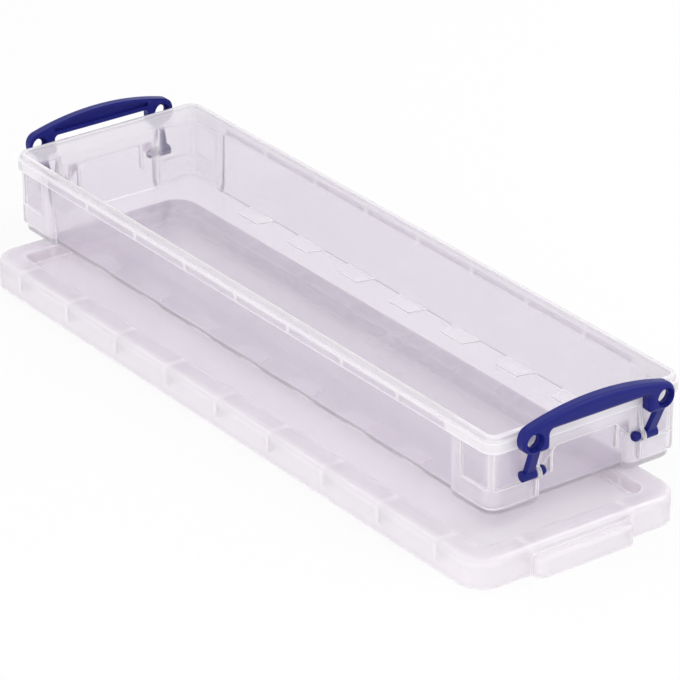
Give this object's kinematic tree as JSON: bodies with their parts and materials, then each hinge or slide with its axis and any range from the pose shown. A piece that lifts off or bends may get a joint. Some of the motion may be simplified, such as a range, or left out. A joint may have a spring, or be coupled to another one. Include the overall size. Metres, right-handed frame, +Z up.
{
  "type": "storage box",
  "caption": "Long slim clear plastic storage box: a shallow tray with framed corner posts and swinging clip handles at its ends, standing on its own sunken-panel lid.",
  "frame": {"origin": "on the floor, under the middle of the whole as it stands: lid, tray and handles together", "axes": "+X along the box towards the near handle, +Y across it towards the side that the tray overhangs, +Z up"},
  "size_m": [0.3746, 0.1216, 0.0565],
  "materials": {
    "clear_polypropylene": "clear, faintly milky",
    "blue_polypropylene": "satin moulded"
  },
  "bodies": {
    "lid": {"lid": "clear_polypropylene"},
    "tray": {"tray": "clear_polypropylene"},
    "handle_near": {"handle_near": "blue_polypropylene"},
    "handle_far": {"handle_far": "blue_polypropylene"}
  },
  "joints": [
    {"name": "tray_lift", "type": "slide", "parent": "lid", "child": "tray", "axis": [0, 0, 1], "range_m": [0, 0.1]},
    {"name": "handle_near_hinge", "type": "hinge", "parent": "tray", "child": "handle_near", "pos_m": [0.1593, 0.01225, 0.0285], "axis": [0, 1, 0], "range_deg": [-6, 100]},
    {"name": "handle_far_hinge", "type": "hinge", "parent": "tray", "child": "handle_far", "pos_m": [-0.1799, 0.01225, 0.0285], "axis": [0, -1, 0], "range_deg": [-6, 100]}
  ]
}
